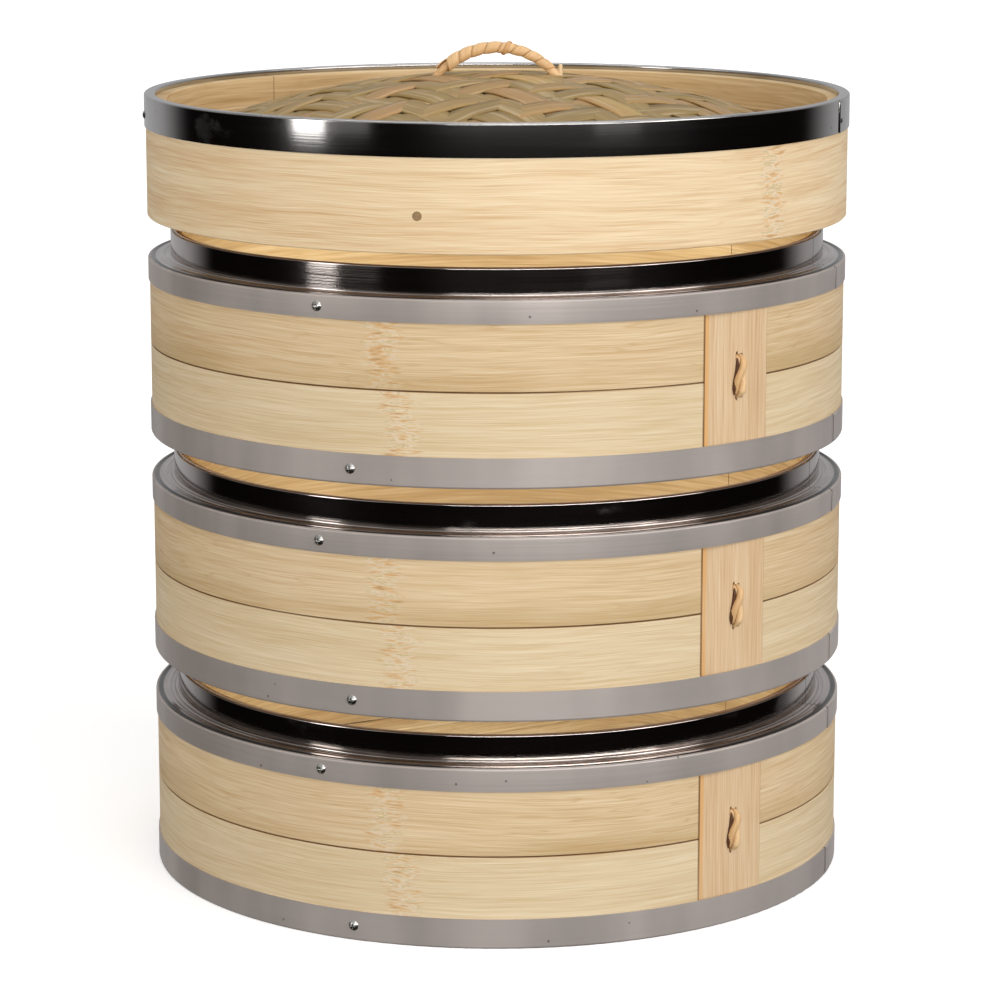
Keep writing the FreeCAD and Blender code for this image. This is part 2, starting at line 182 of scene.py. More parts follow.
def room():
    """A soft gradient round the basket: bright above and behind, dark low in front."""
    world = bpy.data.worlds.new("room")
    world.use_nodes = True
    tree = world.node_tree
    tree.nodes.clear()
    direction = add(tree, "TexCoord", out=0)
    height = add(tree, "SeparateXYZ", {0: direction}, 2)
    back = add(tree, "SeparateXYZ", {0: direction}, 1)
    rise = between(tree, height, -0.1, 0.5)
    front = ramp(tree, rise, [(0, rgb(22, 18, 17)), (0.45, 0.06), (1, 0.85)])
    lit = mix(tree, between(tree, back, 0.45, 0.8), front, (0.9, 0.9, 0.92, 1))
    matt = add(tree, "LightPath", out="Is Diffuse Ray")
    even = mix(tree, matt, lit, (AMBIENT, AMBIENT, AMBIENT, 1))
    seen = add(tree, "LightPath", out="Is Camera Ray")
    colour = mix(tree, seen, even, (1, 1, 1, 1))
    strength = maths(tree, "ADD", 0.5, maths(tree, "MULTIPLY", seen, 0.7))
    background = add(tree, "Background", {"Color": colour, "Strength": strength})
    tree.links.new(background, tree.nodes.new("ShaderNodeOutputWorld").inputs[0])
    bpy.context.scene.world = world


room()
print("even light on matt surfaces:", AMBIENT)

# %% [markdown]
# ## Lights
#
# Soft panels model the form and draw the highlights. A wide low strip in front lights
# the boards and the bands evenly, a key from above gives the top edges their light, and
# a warmer panel on the left and a larger one on the right keep the sides from going
# dark. The rest are there for the steel: a tall one whose reflection is the streak on
# the lid's band, a narrow one behind that draws the bright lines on the beads, and two
# weak ones that give the bands' ends a sheen. Each open tier is lit from inside by a
# small panel at its rim, which rides on its tier, so that a lifted tier keeps it.

# %% Lights
AIM = Vector((0, 0, 0.15))
INSIDE_SIZE = 0.15
OVER_RIM = 0.002
COOL = (0.86, 0.97, 1.0)
WARM = (1, 0.84, 0.58)


def soft_light(name, place, width, height, power, colour=(1, 1, 1), aim=AIM, shows=True):
    """A panel of light at a place, turned to a point. One that doesn't show is
    neither seen nor reflected."""
    data = bpy.data.lights.new(name, "AREA")
    data.shape = "RECTANGLE"
    data.size = width
    data.size_y = height
    data.energy = power
    data.color = colour
    light = bpy.data.objects.new(name, data)
    bpy.context.scene.collection.objects.link(light)
    light.location = place
    light.rotation_euler = (aim - light.location).to_track_quat("-Z", "Y").to_euler()
    light.visible_camera = False
    light.visible_glossy = shows
    return light


soft_light("front_strip", Vector((0.55, -1.55, 0.45)), 2.4, 0.17, 14.5)
soft_light("key", Vector((0.5, -1.5, 1.7)), 1.4, 0.9, 8)
soft_light("side", Vector((1.6, -0.8, 1.2)), 0.9, 1.2, 12, (1, 0.97, 0.96))
soft_light("top", Vector((0, 0.3, 2.2)), 1.8, 1.8, 8)
soft_light("bead_line", Vector((0, 0.8, 1.9)), 2.4, 0.16, 5)
soft_light("left_streak", Vector((-1.75, -1.0, 0.61)), 0.4, 1.2, 7.5)
soft_light("warm_left", Vector((-1.4, -1.2, 0.9)), 0.8, 0.8, 3.7, WARM, shows=False)
soft_light("left_glow", Vector((-1.45, -1.4, 0.62)), 0.5, 1.2, 0.45)
soft_light("right_glow", Vector((1.3, -1.7, 0.62)), 0.6, 1.2, 0.35)
for tier, power in zip(TIERS, (0.15, 0.16, 0.26)):
    over_rim = Vector((0, 0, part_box(tier + "_top_cap")[1].z + OVER_RIM))
    inside = soft_light(tier + "_inside", over_rim, INSIDE_SIZE, INSIDE_SIZE, power, COOL,
                        aim=Vector((0, 0, 0)), shows=False)
    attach(inside, tier)

# %% [markdown]
# ## Floor
#
# The floor is a plain pale disc, just wide enough to catch the contact shadow. Steel
# would mirror it and the bamboo would pick up its light from below, so it is left out
# of reflections and of bounced light. It is staged, which means that it isn't part of
# the basket.

# %% Floor
FLOOR_RADIUS = 0.42
floor_mesh = bmesh.new()
bmesh.ops.create_circle(floor_mesh, cap_ends=True, segments=96, radius=FLOOR_RADIUS)
floor = bpy.data.objects.new("floor", bpy.data.meshes.new("floor"))
floor_mesh.to_mesh(floor.data)
floor_mesh.free()
bpy.context.scene.collection.objects.link(floor)
floor.visible_diffuse = False
floor.visible_glossy = False
floor.data.materials.append(finish("pale_floor", lambda tree: {
    "Base Color": (0.93, 0.93, 0.93, 1), "Roughness": 0.9,
    "Emission Color": (1, 1, 1, 1), "Emission Strength": 0.35}))
print("floor radius", FLOOR_RADIUS, "m")

# %% [markdown]
# ## Bamboo
#
# A board is a strip of split and planed bamboo. Its fibres run along the board, so
# it shows fine straight streaks, long flowing lines where the plane has crossed the
# fibre layers, and a ragged band of short broken fibres at each joint of the cane.
# A picture of wood would stretch round the hoops and repeat, and one plain noise looks
# like felt. So noise is stretched: slow along the fibre and fast across it, at three
# scales. The coordinates are the object's own metres, so the streaks have their true
# size. Two marks are painted at set places: the bands of broken fibres, and the thin
# dark lines of painted shadow where one board ends at the next. Both are found by an
# angle round the basket, counted from the front, and a test keeps them off its far side.

# %% Marks at an angle
EASE = 0.0001
KNOT_WIDTH = 0.0105
RAGGED_EDGE = 0.014
NEAR_SIDE = 0.05


def across_from(tree, place, angle):
    """How far to the right a place is of an angle round the basket, in metres, and 1 on
    the side of the basket that faces that angle."""
    turn = math.radians(angle)
    sideways = vector(tree, "DOT_PRODUCT", place, (math.cos(turn), math.sin(turn), 0), 1)
    outward = vector(tree, "DOT_PRODUCT", place, (math.sin(turn), -math.cos(turn), 0), 1)
    return sideways, maths(tree, "GREATER_THAN", outward, NEAR_SIDE)


def knot_band(tree, place, angle, ragged):
    """1 inside the ragged band of broken fibres at an angle."""
    sideways, near = across_from(tree, place, angle)
    jog = maths(tree, "MULTIPLY_ADD", ragged, RAGGED_EDGE, -RAGGED_EDGE / 2)
    off = maths(tree, "ABSOLUTE", maths(tree, "ADD", sideways, jog))
    inside = between(tree, off, KNOT_WIDTH * 0.75, KNOT_WIDTH * 0.35)
    return maths(tree, "MULTIPLY", inside, near)


def stripe(tree, place, angle, start, end):
    """1 between two places across from an angle, or between two heights if it is None."""
    if angle is None:
        spot, near = add(tree, "SeparateXYZ", {0: place}, 2), 1.0
    else:
        spot, near = across_from(tree, place, angle)
    off = maths(tree, "ABSOLUTE", maths(tree, "SUBTRACT", spot, (start + end) / 2))
    inside = between(tree, off, (end - start) / 2 + EASE, (end - start) / 2 - EASE)
    return maths(tree, "MULTIPLY", inside, near)


print("a knot band is", KNOT_WIDTH * 1000, "mm wide")

# %% Bamboo finish
MEAN_TONE = 0.525
SWAY = 0.006
LAYER_LINES = 13.0
STREAKS = ((2.6, 9.0, 2.0), (0.9, 4.0, 3.0), (0.12, 1.2, 3.0))


def bamboo(name, dark, middle, light, turn=0.0, stretch=(5.0, 5.0, 1000.0), seed=0.0,
           knots=(), flow=0.35, painted_shade=None, lines=()):
    """Planed bamboo. `stretch` is how fast the grain changes per metre on each axis,
    after a turn of the pattern, `knots` are the angles of its cane joints, `flow` is
    how strong the long lines are, `painted_shade` is a (from, to) height between which the
    board darkens in patches with painted shade, and `lines` are narrow stripes of
    another colour: (angle or None, from, to, colour), with heights where the angle is
    None and else places across the board, in metres from that angle."""
    def build(tree):
        place = add(tree, "TexCoord", out=3)
        inputs = {"Vector": place, "Location": (seed, seed * 0.7, seed * 1.3),
                  "Rotation": (0, 0, math.radians(turn))}
        turned = add(tree, "Mapping", inputs)
        fast = max(stretch)
        slow = min(stretch)
        across = tuple(1.0 if s == fast else 0.0 for s in stretch)
        calm = tuple(max(s * 0.02, slow * 2) for s in stretch)
        sway = noise(tree, vector(tree, "MULTIPLY", turned, calm))
        bend = maths(tree, "MULTIPLY_ADD", sway, SWAY, -SWAY / 2)
        waved = vector(tree, "ADD", turned, vector(tree, "MULTIPLY", across, bend))
        streaks = [noise(tree, vector(tree, "MULTIPLY", waved, tuple(
            s * factor if s == fast else s * ease for s in stretch)), detail=depth)
            for factor, ease, depth in STREAKS]
        fine, medium, broad = streaks
        tone = maths(tree, "MULTIPLY_ADD", medium, 0.3, maths(tree, "MULTIPLY", fine, 0.45))
        tone = maths(tree, "MULTIPLY_ADD", broad, 0.3, tone)
        stops = [(MEAN_TONE - 0.19, dark), (MEAN_TONE, middle), (MEAN_TONE + 0.17, light)]
        colour = ramp(tree, tone, stops)
        layers = maths(tree, "FRACT", maths(tree, "MULTIPLY", broad, LAYER_LINES))
        line = ramp(tree, layers, [(0.0, 1.0), (0.1, 0.0), (0.86, 0.0), (1.0, 1.0)])
        fade = between(tree, sway, 0.42, 0.62)
        lined = maths(tree, "MULTIPLY", maths(tree, "MULTIPLY", line, fade), flow)
        colour = mix(tree, lined, colour, (*dark, 1))
        height = maths(tree, "MULTIPLY_ADD", fine, 0.5, medium)
        if knots:
            ragged = noise(tree, vector(tree, "MULTIPLY", place, (20, 20, 520)), detail=3)
            dashes = noise(tree, vector(tree, "MULTIPLY", place, (170, 170, 1150)), detail=3)
            tint = ramp(tree, dashes, [(0.3, rgb(176, 134, 84)), (0.4, rgb(216, 170, 116)),
                                       (0.47, middle), (0.55, rgb(226, 208, 184)),
                                       (0.62, rgb(190, 170, 118)), (0.72, rgb(236, 214, 178))])
            for angle in knots:
                band = knot_band(tree, place, angle, ragged)
                colour = mix(tree, maths(tree, "MULTIPLY", band, 0.72), colour, tint)
                rough_band = maths(tree, "MULTIPLY", band, dashes)
                height = maths(tree, "MULTIPLY_ADD", rough_band, 0.35, height)
        # Painted shade: the board darkens in patches towards its lower edge, just above the seam.
        if painted_shade:
            z = add(tree, "SeparateXYZ", {0: place}, 2)
            fog = noise(tree, vector(tree, "MULTIPLY", place, (9, 9, 30)))
            patches = between(tree, fog, 0.35, 0.7)
            shade = maths(tree, "MULTIPLY", between(tree, z, *painted_shade), patches)
            colour = mix(tree, maths(tree, "MULTIPLY", shade, 0.55), colour, (*rgb(176, 146, 92), 1))
        for angle, start, end, paint in lines:
            strength = between(tree, sway, 0.25, 0.5, 0.35, 0.85)
            amount = maths(tree, "MULTIPLY", stripe(tree, place, angle, start, end), strength)
            colour = mix(tree, amount, colour, (*paint, 1))
        rough = between(tree, medium, 0.3, 0.7, 0.62, 0.46)
        bump = add(tree, "Bump", {"Height": height, "Strength": 0.35, "Distance": 0.00025})
        return {"Base Color": colour, "Roughness": rough, "Normal": bump,
                "Specular IOR Level": 0.35}
    return finish(name, build)


# %% [markdown]
# ## Which bamboo goes where
#
# The upper boards are a shade browner than the lower ones, and the cane joints of
# the two don't line up. Each tier's boards come from another cane, so each gets its
# own seed. The upright strip that closes the boards' joint has its fibres upright,
# an orange skin left along its left edge and a painted shadow line where it meets
# the boards.
# The floor slats run across the basket at an angle. The hoops inside are cut nearer
# the heart of the wall of the cane, which is a warmer, plainer wood, and the dowels
# that peg the lid's hoops are end grain, which soaks up the light and looks dark.

# %% Boards, strips, slats and hoops
STRIP_ANGLE = 40.6
STRIP_EDGE = 34.1
SLAT_ANGLE = 30.0
# The colour of the painted shadow lines at the boards' seam and beside the strip.
SHADOW = rgb(124, 84, 42)
UPRIGHT = (1000.0, 30.0, 5.0)
ALONG_SLAT = (9.0, 420.0, 420.0)


def wear(node, material):
    """Gives a frame piece its finish."""
    nodes[node].data.materials.clear()
    nodes[node].data.materials.append(material)


hoop_wood = bamboo("bamboo_hoop", rgb(176, 140, 92), rgb(206, 176, 130), rgb(224, 200, 160),
                   stretch=(4.0, 4.0, 500.0), flow=0.25)
peg_wood = bamboo("bamboo_peg", rgb(176, 140, 92), rgb(212, 176, 124), rgb(232, 204, 158),
                  stretch=(400.0, 60.0, 60.0))
slat_wood = bamboo("bamboo_slat", rgb(180, 144, 96), rgb(212, 184, 138), rgb(230, 208, 170),
                   turn=-SLAT_ANGLE, stretch=ALONG_SLAT, flow=0.5)
batten_wood = bamboo("bamboo_batten", rgb(186, 146, 92), rgb(214, 178, 126), rgb(234, 206, 160),
                     turn=90 - SLAT_ANGLE, stretch=ALONG_SLAT, seed=1.7)
# The strip's second line is painted shadow, where the boards stand proud of its left edge.
strip_wood = bamboo("bamboo_strip", rgb(192, 152, 106), rgb(214, 184, 146), rgb(228, 204, 170),
                    turn=-STRIP_ANGLE, stretch=UPRIGHT, flow=0.1,
                    lines=[(STRIP_EDGE, 0.0, 0.0018, rgb(222, 168, 104)),
                           (STRIP_EDGE, -0.0008, 0.0003, SHADOW)])
for number, tier in enumerate(TIERS):
    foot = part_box(tier + "_bottom_band")[0].z
    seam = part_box(tier + "_lower_board")[1].z
    # Painted shadow: a dark line along the seam between the boards, and one at the boards' ends
    # beside the strip.
    board_lines = [(None, seam - 0.0002, seam + 0.0004, SHADOW),
                   (STRIP_EDGE, -0.0012, -0.0002, SHADOW)]
    # The upper boards get a patchy painted shade along their lower edge, above the seam.
    upper = bamboo(tier + "_upper_bamboo", rgb(190, 154, 106), rgb(213, 186, 146), rgb(228, 206, 170),
                   seed=0.31 * number, knots=(-17.5, 112, -128), flow=0.5,
                   painted_shade=(foot + 0.045, foot + 0.034), lines=board_lines)
    lower = bamboo(tier + "_lower_bamboo", rgb(200, 172, 128), rgb(217, 195, 158), rgb(230, 212, 180),
                   seed=4.2 + 0.47 * number, knots=(-15, 121, -119), flow=0.3, lines=board_lines)
    wear(tier + "_upper_board", upper)
    wear(tier + "_lower_board", lower)
    wear(tier + "_filler_strip", strip_wood)
    wear(tier + "_floor_slats", slat_wood)
    wear(tier + "_floor_battens", batten_wood)
    wear(tier + "_floor_pins", peg_wood)
    for part in ("backing_hoop", "inner_hoop", "floor_ring"):
        wear(tier + "_" + part, hoop_wood)
lid_wood = bamboo("lid_bamboo", rgb(208, 168, 122), rgb(228, 202, 162), rgb(240, 220, 186),
                  seed=7.7, knots=(48, 163, -112), flow=0.35)
wear("lid_outer_hoop", lid_wood)
for part in ("inner_hoop", "dome_support_ring", "dome_clamp_ring"):
    wear("lid_" + part, hoop_wood)
dowel_wood = bamboo("bamboo_dowel", rgb(104, 80, 54), rgb(142, 112, 78), rgb(178, 148, 108),
                    stretch=(400.0, 400.0, 400.0), seed=2.3)
wear("lid_hoop_pegs", dowel_wood)
wear("lid_handle_toggles", peg_wood)
print("bamboo finishes:", len([wood for wood in bpy.data.materials if "bamboo" in wood.name]))

# %% [markdown]
# ## Sheet steel
#
# The bands are thin stainless sheet. Under the ledge and round the foot it has the
# mill's brushed finish, drawn along the band. The ledge and the collar have been
# rolled and burnished, so they are a dark mirror, and so is the lid's band. A metal
# is only its colour and its roughness, so the finish is in those: fine lines along
# the band, a soft patina, hazy smudges where hands have been, and a few specks. The
# brushed part scatters light in all directions, which a pure metal of the shader
# doesn't, so part of it is matt. A dark line marks where the sheet's two ends meet,
# and a dark groove lies just inside the rolled edge.

# %% Steel finishes
SATIN = 0.55
SEAM_ANGLE = 71.0
SEAM_GAP = 0.0008
GROOVE_INSET = 0.0012
LINES_PER_METRE = 5200.0
DIRT = (0.05, 0.045, 0.04, 1)
GAP_DARK = (0.02, 0.018, 0.016, 1)


def steel(name, colour, polished, brushed=0.0, edge_radius=None, grain=0.12):
    """Sheet steel of a colour and a polished roughness. Outside edge_radius, if it is
    given, it is brushed and has that other roughness, with a dark groove just behind
    the edge. `grain` is how deep its lines are."""
    def build(tree):
        place = add(tree, "TexCoord", out=3)
        flat = vector(tree, "MULTIPLY", place, (1, 1, 0))
        radius = add(tree, "VectorMath", {0: flat}, 1, operation="LENGTH")
        upright = add(tree, "SeparateXYZ", {0: place}, 2)
        level = add(tree, "SeparateXYZ", {0: add(tree, "NewGeometry", out=1)}, 2)
        across = maths(tree, "MULTIPLY_ADD", maths(tree, "ABSOLUTE", level), radius, upright)
        course = add(tree, "CombineXYZ", {2: maths(tree, "MULTIPLY", across, LINES_PER_METRE)})
        course = vector(tree, "ADD", vector(tree, "MULTIPLY", place, (14, 14, 0)), course)
        lines = noise(tree, course, detail=2)
        marks = vector(tree, "MULTIPLY", place, (34, 34, 60))
        smudge = between(tree, noise(tree, marks, detail=5, roughness=0.62), 0.56, 0.68)
        cloud = noise(tree, vector(tree, "MULTIPLY", place, (15, 15, 9)), detail=2)
        haze = maths(tree, "MULTIPLY", smudge, between(tree, cloud, 0.5, 0.62))
        shine = maths(tree, "MULTIPLY_ADD", haze, 0.14, polished)
        shine = maths(tree, "MULTIPLY_ADD", lines, 0.05, shine)
        if edge_radius:
            outside = between(tree, radius, edge_radius - 0.0003, edge_radius)
            matt = maths(tree, "MULTIPLY_ADD", lines, 0.12, brushed - 0.06)
            rest = maths(tree, "MULTIPLY", shine, maths(tree, "SUBTRACT", 1.0, outside))
            shine = maths(tree, "MULTIPLY_ADD", matt, outside, rest)
            metal = maths(tree, "SUBTRACT", 1.0, maths(tree, "MULTIPLY", outside, SATIN))
        else:
            metal = 1.0
        darker = tuple(c * 0.82 for c in colour)
        tint = mix(tree, maths(tree, "MULTIPLY_ADD", lines, 0.6, 0.1), (*darker, 1), (*colour, 1))
        patina = noise(tree, vector(tree, "MULTIPLY", place, (26, 26, 7)), detail=3)
        worn = between(tree, patina, 0.3, 0.7, 0.84, 1.14)
        worn = add(tree, "CombineXYZ", {0: worn, 1: worn, 2: worn})
        tint = mix(tree, 1.0, tint, worn, "MULTIPLY")
        joint = stripe(tree, place, SEAM_ANGLE, -SEAM_GAP / 2, SEAM_GAP / 2)
        if edge_radius:
            inset = maths(tree, "SUBTRACT", radius, edge_radius - GROOVE_INSET)
            groove = between(tree, maths(tree, "ABSOLUTE", inset), 0.0011, 0.0008)
            joint = maths(tree, "MAXIMUM", joint, groove)
        tint = mix(tree, maths(tree, "MULTIPLY", joint, 0.9), tint, GAP_DARK)
        specks = add(tree, "TexVoronoi", {"Vector": place, "Scale": 90.0}, 0)
        spot = between(tree, specks, 0.05, 0.03)
        tint = mix(tree, maths(tree, "MULTIPLY", spot, 0.7), tint, DIRT)
        bump = add(tree, "Bump", {"Height": lines, "Strength": grain, "Distance": 0.00008})
        return {"Base Color": tint, "Metallic": metal, "Roughness": shine, "Normal": bump}
    return finish(name, build)


band_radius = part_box("bottom_tier_top_cap")[1].x
brushed_from = band_radius - 0.0006
cap_steel = steel("steel_cap", rgb(194, 184, 178), 0.08, 0.44, brushed_from)
band_steel = steel("steel_band", rgb(198, 188, 182), 0.4, 0.44, brushed_from)
lid_steel = steel("polished_band", rgb(190, 187, 184), 0.1, grain=0.03)
screw_steel = steel("screw_steel", rgb(216, 214, 208), 0.25)
for tier in TIERS:
    wear(tier + "_bottom_band", band_steel)
    wear(tier + "_band_screws", screw_steel)
wear("lid_band_rivets", screw_steel)
print("steel bands have a radius of", round(band_radius, 4), "m")

# %% [markdown]
# ## Laying a strip along a path
#
# The splints of the dome, the wrapping of the handle and the stitches are all flat
# strips or round canes that follow a path. A flat grid made by bmesh has a place
# along and a place across for each of its points. Moving each point to where its
# two places belong bends the grid into the strip, and the same two places are kept
# as its UV map, in metres, so the grain follows the strip wherever it goes. A set
# would hand the mesh's parts over in another order on each run, so they are kept in a
# list that holds each of them once.

# %% Helpers for strips
def once(things):
    """Each of some things once, in the order in which they first come."""
    return list(dict.fromkeys(things))


def lay_strip(mesh, steps, across, spot, size, mark):
    """Adds a grid of steps x across to a bmesh and bends it with spot(a, b), where a
    and b run from 0 to 1. `size` is its real (length, width) and `mark` its shade, 0 to
    1, which also moves its UVs, so that no two strips have the same fibres."""
    uv = mesh.loops.layers.uv.verify()
    shade = mesh.faces.layers.float.get("shade") or mesh.faces.layers.float.new("shade")
    made = bmesh.ops.create_grid(mesh, x_segments=steps, y_segments=across, size=1.0)["verts"]
    for face in once(face for vert in made for face in vert.link_faces):
        face[shade] = mark
        face.smooth = True
        for loop in face.loops:
            a, b = (loop.vert.co.x + 1) / 2, (loop.vert.co.y + 1) / 2
            loop[uv].uv = (a * size[0] + mark * 3.0, b * size[1] + mark * 0.7)
    for vert in made:
        vert.co = spot((vert.co.x + 1) / 2, (vert.co.y + 1) / 2)
    return made


def finished_piece(name, mesh, material, body, replaced, thickness=0.0):
    """Turns a bmesh into a piece of the basket that rides on a body."""
    data = bpy.data.meshes.new(name)
    mesh.to_mesh(data)
    mesh.free()
    data.materials.append(material)
    piece = bpy.data.objects.new(name, data)
    bpy.context.scene.collection.objects.link(piece)
    if thickness:
        shell = piece.modifiers.new("thickness", "SOLIDIFY")
        shell.thickness = thickness
        shell.offset = 0.0
    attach(piece, body)
    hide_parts(*replaced)
    print(name, "has", len(data.polygons), "faces")
    return piece


# %% [markdown]
# ## Rolled steel caps
#
# The steel on a tier's rim is one sheet: it covers the top of the boards, turns in
# over a rolled edge and a groove, runs across the ledge with two beads, and stands
# up as the collar that the next tier drops over. Its highlights are thin bright
# lines, which show every flat in a coarse mesh. So the outline is drawn once, its
# corners are rounded with a bevel, and it is spun round the axis in small steps.

# %% Rolled steel
ROUND_STEPS = 240
SEAM_LAP = 3.2
LAP_OUT = 0.0003
SHEET = 0.0005


def roll(mesh, outline, steps=ROUND_STEPS, start=0.0, sweep=360.0):
    """Spins an outline of (radius, height, rounding) points about the upright axis."""
    verts = [mesh.verts.new((radius, 0, z)) for radius, z, _ in outline]
    for pair in zip(verts, verts[1:]):
        mesh.edges.new(pair)
    wire = list(verts)
    for vert, (_, _, rounding) in zip(verts, outline):
        if rounding:
            wire.remove(vert)
            made = bmesh.ops.bevel(mesh, geom=[vert], offset=rounding, segments=4, profile=0.5,
                                   affect="VERTICES", material=-1)
            wire += made["verts"]
    edges = once(edge for vert in wire for edge in vert.link_edges)
    turn = Matrix.Rotation(math.radians(start - 90), 3, "Z")
    bmesh.ops.rotate(mesh, verts=wire, cent=(0, 0, 0), matrix=turn)
    bmesh.ops.spin(mesh, geom=wire + edges, cent=(0, 0, 0), axis=(0, 0, 1),
                   angle=math.radians(sweep), steps=steps, use_merge=sweep == 360.0)


def rolled_piece(name, outline, lap, material, body, replaced):
    """A band or cap: its whole turn, and the short lap where its ends meet."""
    mesh = bmesh.new()
    roll(mesh, outline)
    roll(mesh, lap, 8, SEAM_ANGLE - 0.2, SEAM_LAP)
    bmesh.ops.recalc_face_normals(mesh, faces=mesh.faces)
    for face in mesh.faces:
        face.smooth = True
    piece = finished_piece(name, mesh, material, body, replaced, SHEET)
    piece.modifiers["thickness"].offset = -1.0
    even = piece.modifiers.new("even_faces", "WEIGHTED_NORMAL")
    even.weight = 90
    even.keep_sharp = True
    return piece


BAND_DROP = 0.0081
COLLAR_RISE = 0.0098
GROOVE = 0.00055
BEAD = 0.00055
LEDGE_WIDTH = 0.0082
for tier in TIERS:
    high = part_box(tier + "_top_cap")[1]
    edge, ledge, top = high.x, high.z - COLLAR_RISE, high.z
    collar = edge - LEDGE_WIDTH
    outline = [
        (edge, ledge - BAND_DROP, 0), (edge, ledge, 0.0007), (edge - 0.0013, ledge, 0.0002),
        (edge - 0.0018, ledge - GROOVE, 0.0003), (edge - 0.0023, ledge, 0.0002),
        (edge - 0.0043, ledge, 0.0003), (edge - 0.0050, ledge + BEAD, 0.0005),
        (edge - 0.0058, ledge - BEAD * 0.3, 0.0003), (edge - 0.0065, ledge + BEAD, 0.0004),
        (edge - 0.0073, ledge, 0.0003), (collar, ledge, 0.0006),
        (collar, top, 0.0007), (collar - 0.0015, top, 0)]
    lap = [(edge + LAP_OUT, ledge - BAND_DROP, 0), (edge + LAP_OUT, ledge - 0.0006, 0)]
    rolled_piece(tier + "_rolled_cap", outline, lap, cap_steel, tier,
                 [tier + "_top_cap"])

low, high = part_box("lid_steel_band")
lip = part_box("lid_inner_hoop")[1].x - SHEET
outline = [(high.x, low.z, 0), (high.x, high.z, 0.0007), (lip, high.z, 0.0007),
           (lip, high.z - 0.002, 0)]
lap = [(high.x + LAP_OUT, low.z, 0), (high.x + LAP_OUT, high.z - 0.0009, 0)]
rolled_piece("lid_rolled_band", outline, lap, lid_steel, "lid",
             ["lid_steel_band"])

# %% [markdown]
# ## Cane and splint finishes
#
# Cane is pale and slightly glossy, with fibres along it that darken in the hollows.
# The splints of the dome are peeled from the green outside of the bamboo and dried,
# so each has another shade between grey green, tan and rose. The shade comes from
# the number that each strip carries, and the fibres from its UV map.

# %% Cane and splints
def strip_finish(name, stops, fibre, shine, use_uv=True):
    """Cane or splint: a shade for each strip, with fibres along it."""
    def build(tree):
        coords = add(tree, "TexCoord", out=2 if use_uv else 3)
        shade = add(tree, "Attribute", out=2, attribute_name="shade")
        fine = noise(tree, vector(tree, "MULTIPLY", coords, (60, 3200, 900)), detail=2)
        wide = noise(tree, vector(tree, "MULTIPLY", coords, (22, 420, 160)), detail=3)
        blotch = noise(tree, vector(tree, "MULTIPLY", coords, (45, 60, 45)), detail=2)
        tone = maths(tree, "MULTIPLY_ADD", blotch, 0.55, maths(tree, "MULTIPLY", shade, 0.72))
        tone = maths(tree, "SUBTRACT", tone, 0.14)
        colour = ramp(tree, tone, stops)
        dark = maths(tree, "MULTIPLY", between(tree, fine, 0.5, 0.32), fibre)
        colour = mix(tree, dark, colour, (0.09, 0.05, 0.022, 1))
        pale = maths(tree, "MULTIPLY", between(tree, wide, 0.5, 0.7), fibre)
        colour = mix(tree, pale, colour, (0.78, 0.62, 0.42, 1))
        height = maths(tree, "MULTIPLY_ADD", fine, 0.6, wide)
        bump = add(tree, "Bump", {"Height": height, "Strength": 0.4, "Distance": 0.0002})
        rough = between(tree, wide, 0.3, 0.7, shine + 0.08, shine - 0.06)
        return {"Base Color": colour, "Roughness": rough, "Normal": bump, "Specular IOR Level": 0.4}
    return finish(name, build)


splint_finish = strip_finish("woven_splint", [
    (0.0, rgb(132, 108, 64)), (0.25, rgb(150, 126, 76)), (0.5, rgb(162, 132, 82)),
    (0.7, rgb(174, 136, 90)), (0.85, rgb(182, 154, 94)), (1.0, rgb(206, 150, 84))], 0.3, 0.5)
# The first, darkest stop is the colour of the stitch's painted shadow.
cane_finish = strip_finish("cane", [
    (0.0, rgb(88, 52, 26)), (0.05, rgb(196, 146, 94)), (0.35, rgb(216, 172, 120)),
    (0.7, rgb(226, 190, 142)), (1.0, rgb(238, 210, 168))], 0.22, 0.44)
core_finish = strip_finish("cane_core", [
    (0.0, rgb(200, 158, 108)), (1.0, rgb(238, 208, 166))], 0.2, 0.5, use_uv=False)
wear("lid_handle_core", core_finish)

# %% [markdown]
# ## The woven dome
#
# The dome is plaited from flat splints: each goes over two and under two, one step
# further on in each row, which is a twill. It could be a smooth dome with a printed
# weave, but then its edge and its little dark openings would be flat. So every
# splint is its own strip, laid on the sphere of the CAD dome. It rises and dips with
# a sine that is clipped, because a stiff splint lies flat and turns quickly.

# %% Dome weave
WEAVE_LAYER = 0.0016
CALM_RIM = 0.008
CROWN = 0.00018
STEP = 0.0027
SPLINT = 0.0006
outer_low, outer_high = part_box("lid_dome_outer_weave")
inner_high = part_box("lid_dome_inner_weave")[1]
dome_edge = outer_high.x - 0.0004
dome_rise = outer_high.z - outer_low.z - WEAVE_LAYER
dome_radius = (outer_high.x ** 2 + dome_rise ** 2) / (2 * dome_rise)
print("dome radius", round(dome_radius, 4), "m, rise", round(dome_rise, 4), "m")


def twill(along, number, pitch):
    """How high a splint is at a place along it, -1 to 1, over two and under two."""
    wave = 1.7 * math.sin(math.pi / 2 * (along / pitch + number + 0.5))
    return max(-1.0, min(1.0, wave))


